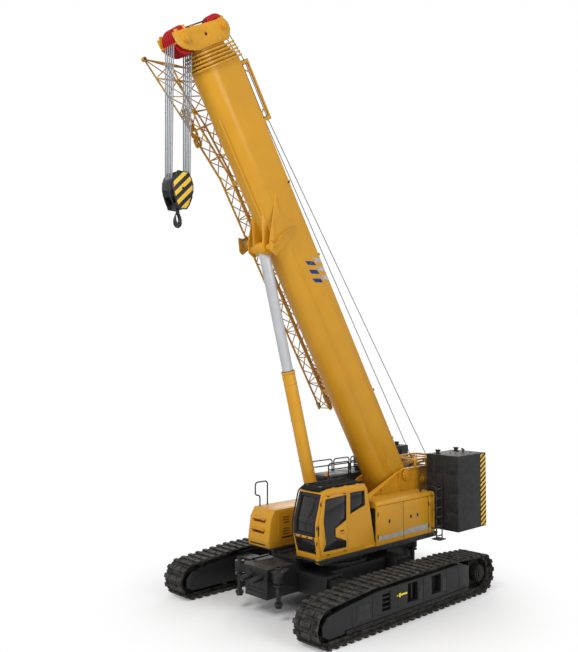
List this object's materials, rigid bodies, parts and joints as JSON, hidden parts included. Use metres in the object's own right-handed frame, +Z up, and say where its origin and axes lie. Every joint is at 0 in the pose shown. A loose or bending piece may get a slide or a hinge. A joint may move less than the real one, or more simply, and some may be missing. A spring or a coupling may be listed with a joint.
{
  "type": "telescopic crawler crane",
  "caption": "Crawler crane with a hydraulic telescopic boom, luffing cylinder, stowed fly jib, slewing upper with cab and weights, and a multi-fall hook block.",
  "frame": {"origin": "on the ground, under the slewing axis, in the middle of the two tracks", "axes": "+X forward, the way the boom points at rest; +Y to the crane's left, the cab side; +Z up"},
  "size_m": [10.7705, 6.11, 15.6712],
  "materials": {
    "ochre_paint": "satin ochre-yellow machine paint",
    "dark_paint": "satin charcoal machine paint",
    "red_paint": "satin red paint",
    "rod_chrome": "ground hard-chromed rod",
    "rope_steel": "laid wire rope",
    "clear_glass": "dark tinted safety glass",
    "cab_trim": "textured cab trim and fabric",
    "track_steel": "dark forged and cast steel"
  },
  "bodies": {
    "carbody": {"carbody": "dark_paint", "jack_cylinders": "dark_paint", "slew_ring": "track_steel"},
    "left_track": {"track_left": "track_steel", "track_frame_left": "dark_paint", "sprocket_left": "track_steel", "idler_left": "track_steel", "rollers_left": "track_steel"},
    "right_track": {"track_right": "track_steel", "track_frame_right": "dark_paint", "sprocket_right": "track_steel", "idler_right": "track_steel", "rollers_right": "track_steel"},
    "superstructure": {"turntable": "dark_paint", "boom_support": "ochre_paint", "winch_guard": "ochre_paint", "counterweight": "dark_paint", "left_hood": "ochre_paint", "right_housing": "ochre_paint", "engine_housing": "dark_paint", "engine_block": "dark_paint", "handrails": "dark_paint", "access_ladder": "dark_paint", "cab_shell": "ochre_paint", "cab_glass": "clear_glass", "roof_guard": "dark_paint", "operator_seat": "cab_trim", "control_console": "cab_trim"},
    "cab_door": {"cab_door": "ochre_paint", "door_glass": "clear_glass"},
    "main_winch": {"main_winch_drum": "dark_paint"},
    "auxiliary_winch": {"auxiliary_winch_drum": "dark_paint"},
    "base_boom": {"boom_base": "ochre_paint", "rope_guide": "ochre_paint", "fly_jib": "ochre_paint", "jib_brackets": "ochre_paint"},
    "section_2": {"boom_section_2": "ochre_paint"},
    "section_3": {"boom_section_3": "ochre_paint"},
    "section_4": {"boom_section_4": "ochre_paint"},
    "section_5": {"boom_section_5": "ochre_paint"},
    "head_section": {"boom_head": "ochre_paint"},
    "front_sheaves": {"front_head_sheaves": "red_paint"},
    "rear_sheaves": {"rear_head_sheaves": "red_paint"},
    "rod": {"luff_rod": "rod_chrome"},
    "barrel": {"luff_barrel": "ochre_paint"},
    "hanging_ropes": {"hoist_falls": "rope_steel"},
    "hook_block": {"hook_block": "dark_paint"},
    "block_sheave_stack": {"block_sheaves": "dark_paint"},
    "hook": {"hook": "dark_paint"}
  },
  "joints": [
    {"name": "left_track_slide", "type": "slide", "parent": "carbody", "child": "left_track", "axis": [0, -1, 0], "range_m": [0, 0.75]},
    {"name": "right_track_slide", "type": "slide", "parent": "carbody", "child": "right_track", "axis": [0, 1, 0], "range_m": [0, 0.75]},
    {"name": "slew", "type": "hinge", "parent": "carbody", "child": "superstructure", "pos_m": [0, 0, 0], "axis": [0, 0, 1], "continuous": true},
    {"name": "cab_door_slide", "type": "slide", "parent": "superstructure", "child": "cab_door", "axis": [-1, 0, 0], "range_m": [0, 0.72]},
    {"name": "main_winch_spin", "type": "hinge", "parent": "superstructure", "child": "main_winch", "pos_m": [-3.72, 0, 2.95], "axis": [0, 1, 0], "continuous": true},
    {"name": "auxiliary_winch_spin", "type": "hinge", "parent": "superstructure", "child": "auxiliary_winch", "pos_m": [-4.48, 0, 2.95], "axis": [0, 1, 0], "continuous": true},
    {"name": "boom_luff", "type": "hinge", "parent": "superstructure", "child": "base_boom", "pos_m": [-2.77, 0, 3.2], "axis": [0, -1, 0], "range_deg": [-58.8, 21.2]},
    {"name": "luff_rod_pivot", "type": "hinge", "parent": "base_boom", "child": "rod", "pos_m": [2.66099, 0, 9.75463], "axis": [0, -1, 0], "range_deg": [-12.2, 4.5]},
    {"name": "luff_barrel_slide", "type": "slide", "parent": "rod", "child": "barrel", "axis": [-0.2667, 0, -0.9638], "range_m": [-3.2, 1.16]},
    {"name": "telescope_2", "type": "slide", "parent": "base_boom", "child": "section_2", "axis": [0.518, 0, 0.8554], "range_m": [0, 8.9]},
    {"name": "telescope_3", "type": "slide", "parent": "section_2", "child": "section_3", "axis": [0.518, 0, 0.8554], "range_m": [0, 8.9]},
    {"name": "telescope_4", "type": "slide", "parent": "section_3", "child": "section_4", "axis": [0.518, 0, 0.8554], "range_m": [0, 8.9]},
    {"name": "telescope_5", "type": "slide", "parent": "section_4", "child": "section_5", "axis": [0.518, 0, 0.8554], "range_m": [0, 8.9]},
    {"name": "telescope_6", "type": "slide", "parent": "section_5", "child": "head_section", "axis": [0.518, 0, 0.8554], "range_m": [0, 8.9]},
    {"name": "front_sheave_spin", "type": "hinge", "parent": "head_section", "child": "front_sheaves", "pos_m": [5.48339, 0, 14.62732], "axis": [0, 1, 0], "continuous": true},
    {"name": "rear_sheave_spin", "type": "hinge", "parent": "head_section", "child": "rear_sheaves", "pos_m": [4.34576, 0, 15.31629], "axis": [0, 1, 0], "continuous": true},
    {"name": "hook_hang", "type": "hinge", "parent": "head_section", "child": "hanging_ropes", "pos_m": [5.48339, 0, 14.62732], "axis": [0, -1, 0], "range_deg": [-21.2, 58.8]},
    {"name": "hook_hoist", "type": "slide", "parent": "hanging_ropes", "child": "hook_block", "axis": [0, 0, 1], "range_m": [0, 2.9], "deforming": ["hoist_falls"]},
    {"name": "block_sheave_spin", "type": "hinge", "parent": "hook_block", "child": "block_sheave_stack", "pos_m": [5.48339, 0, 10.93], "axis": [0, 1, 0], "continuous": true},
    {"name": "hook_swivel", "type": "hinge", "parent": "hook_block", "child": "hook", "pos_m": [5.48339, 0, 10.5], "axis": [0, 0, 1], "continuous": true}
  ],
  "couplings": [
    {"joint": "luff_rod_pivot", "follows": "boom_luff", "ratio": 0.2063},
    {"joint": "luff_barrel_slide", "follows": "boom_luff", "m_per_rad": 3.109},
    {"joint": "hook_hang", "follows": "boom_luff", "ratio": -1},
    {"joint": "telescope_3", "follows": "telescope_2", "ratio": 1},
    {"joint": "telescope_4", "follows": "telescope_2", "ratio": 1},
    {"joint": "telescope_5", "follows": "telescope_2", "ratio": 1},
    {"joint": "telescope_6", "follows": "telescope_2", "ratio": 1}
  ]
}
